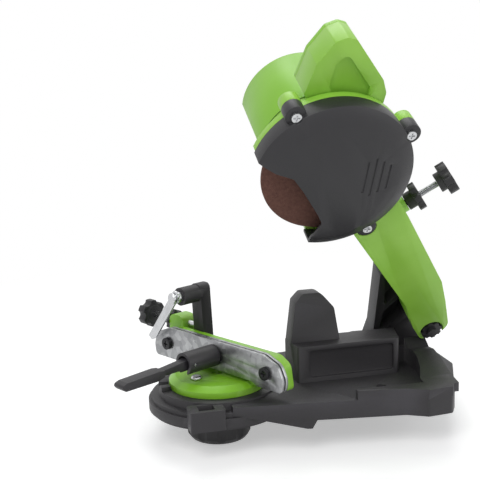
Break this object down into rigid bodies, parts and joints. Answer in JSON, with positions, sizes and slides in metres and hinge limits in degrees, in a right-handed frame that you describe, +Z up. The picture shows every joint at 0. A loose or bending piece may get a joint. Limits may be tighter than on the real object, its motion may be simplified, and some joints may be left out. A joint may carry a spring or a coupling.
{
  "type": "electric chainsaw sharpener",
  "caption": "Bench-mounted electric grinder on an inclined hinge with a guarded wheel, depth stop, and a turntable vise that clamps a saw chain for sharpening.",
  "frame": {"origin": "midway between the two bench screw holes, on the bench surface", "axes": "+Z up from the bench along the bench holes, -X towards the vise end, -Y towards the user"},
  "size_m": [0.311, 0.2482, 0.3459],
  "materials": {
    "green_moulding": "satin moulded",
    "black_moulding": "fine textured moulded",
    "knob_plastic": "textured moulded",
    "galvanised_steel": "galvanised",
    "bright_steel": "plated",
    "black_steel": "blackened",
    "machined_steel": "machined",
    "abrasive": "vitrified abrasive",
    "copper": "bare",
    "rubber_black": "matt",
    "spring_steel": "drawn"
  },
  "bodies": {
    "base": {"base_casting": "black_moulding", "hinge_bolt": "machined_steel", "hinge_nut": "machined_steel", "hinge_hub": "black_moulding", "return_spring": "spring_steel"},
    "head": {"head_front_shell": "green_moulding", "head_rear_shell": "green_moulding", "wheel_cover": "black_moulding", "cover_screws": "bright_steel", "stator": "machined_steel", "front_bearing": "machined_steel", "rear_bearing": "machined_steel", "brush_holders": "black_moulding", "switch_frame": "black_moulding", "lead_bushing": "rubber_black"},
    "spindle": {"motor_shaft": "machined_steel", "rotor": "copper", "commutator": "copper", "motor_fan": "black_moulding", "inner_flange": "machined_steel", "grinding_wheel": "abrasive", "outer_flange": "machined_steel", "wheel_nut": "bright_steel"},
    "switch": {"switch_rocker": "knob_plastic"},
    "depth_screw": {"depth_stud": "bright_steel"},
    "depth_grip": {"depth_knob": "knob_plastic"},
    "depth_lock": {"depth_lock_knob": "knob_plastic"},
    "vise": {"vise_casting": "green_moulding", "rear_rail": "galvanised_steel", "front_rail": "galvanised_steel", "rail_screws": "black_steel", "rail_spacers": "machined_steel", "clamp_bolt": "bright_steel", "clamp_sleeve": "black_moulding", "lever_pin": "bright_steel", "turntable_bolt": "machined_steel", "index_screw": "bright_steel"},
    "lever": {"clamp_lever": "black_moulding"},
    "stop_carriage": {"stop_post": "black_moulding", "pawl_screw": "bright_steel"},
    "pawl": {"stop_pawl": "bright_steel"},
    "stop_feed": {"stop_screw": "bright_steel", "stop_knob": "knob_plastic"},
    "stop_lock": {"stop_lock_nut": "knob_plastic"},
    "turntable_lock": {"turntable_knob": "knob_plastic"}
  },
  "joints": [
    {"name": "head_swing", "type": "hinge", "parent": "base", "child": "head", "pos_m": [0.068, -0.004, 0.043], "axis": [0, -0.866, -0.5], "range_deg": [0, 35], "stiffness_Nm_per_rad": 4, "springref_deg": -51.57},
    {"name": "spindle_spin", "type": "hinge", "parent": "head", "child": "spindle", "pos_m": [-0.0574, -0.095, 0.20062], "axis": [0, -0.866, -0.5], "continuous": true},
    {"name": "switch_rock", "type": "hinge", "parent": "head", "child": "switch", "pos_m": [-0.0494, -0.0877, 0.28797], "axis": [1, 0, 0], "range_deg": [0, 14]},
    {"name": "depth_slide", "type": "slide", "parent": "head", "child": "depth_screw", "axis": [0.7986, -0.3009, 0.5212], "range_m": [-0.014, 0.006]},
    {"name": "depth_turn", "type": "hinge", "parent": "depth_screw", "child": "depth_grip", "pos_m": [0.022, -0.04389, 0.17008], "axis": [0.7986, -0.3009, 0.5212], "range_deg": [-5041, 2161]},
    {"name": "depth_lock_turn", "type": "hinge", "parent": "head", "child": "depth_lock", "pos_m": [0.022, -0.04389, 0.17008], "axis": [0.7986, -0.3009, 0.5212], "range_deg": [0, 270]},
    {"name": "vise_turn", "type": "hinge", "parent": "base", "child": "vise", "pos_m": [-0.132, 0, 0], "axis": [0, 0, 1], "range_deg": [-65, 5]},
    {"name": "lever_swing", "type": "hinge", "parent": "vise", "child": "lever", "pos_m": [-0.15928, -0.01575, 0.0425], "axis": [0.5, -0.866, 0], "range_deg": [0, 30]},
    {"name": "stop_slide", "type": "slide", "parent": "vise", "child": "stop_carriage", "axis": [0.5, -0.866, 0], "range_m": [-0.008, 0.005]},
    {"name": "stop_turn", "type": "hinge", "parent": "stop_carriage", "child": "stop_feed", "pos_m": [-0.17168, 0.10873, 0.0545], "axis": [0.5, -0.866, 0], "range_deg": [-2881, 1801]},
    {"name": "pawl_swing", "type": "hinge", "parent": "stop_carriage", "child": "pawl", "pos_m": [-0.153, 0.03637, 0.087], "axis": [-0.866, -0.5, 0], "range_deg": [-80, 25]},
    {"name": "stop_lock_turn", "type": "hinge", "parent": "vise", "child": "stop_lock", "pos_m": [-0.17168, 0.10873, 0.0545], "axis": [0.5, -0.866, 0], "range_deg": [0, 270]},
    {"name": "turntable_knob_turn", "type": "hinge", "parent": "base", "child": "turntable_lock", "pos_m": [-0.132, 0, 0], "axis": [0, 0, 1], "range_deg": [0, 270]}
  ],
  "couplings": [
    {"joint": "depth_turn", "follows": "depth_slide", "rad_per_m": 6283.2},
    {"joint": "stop_turn", "follows": "stop_slide", "rad_per_m": 6283.2}
  ]
}
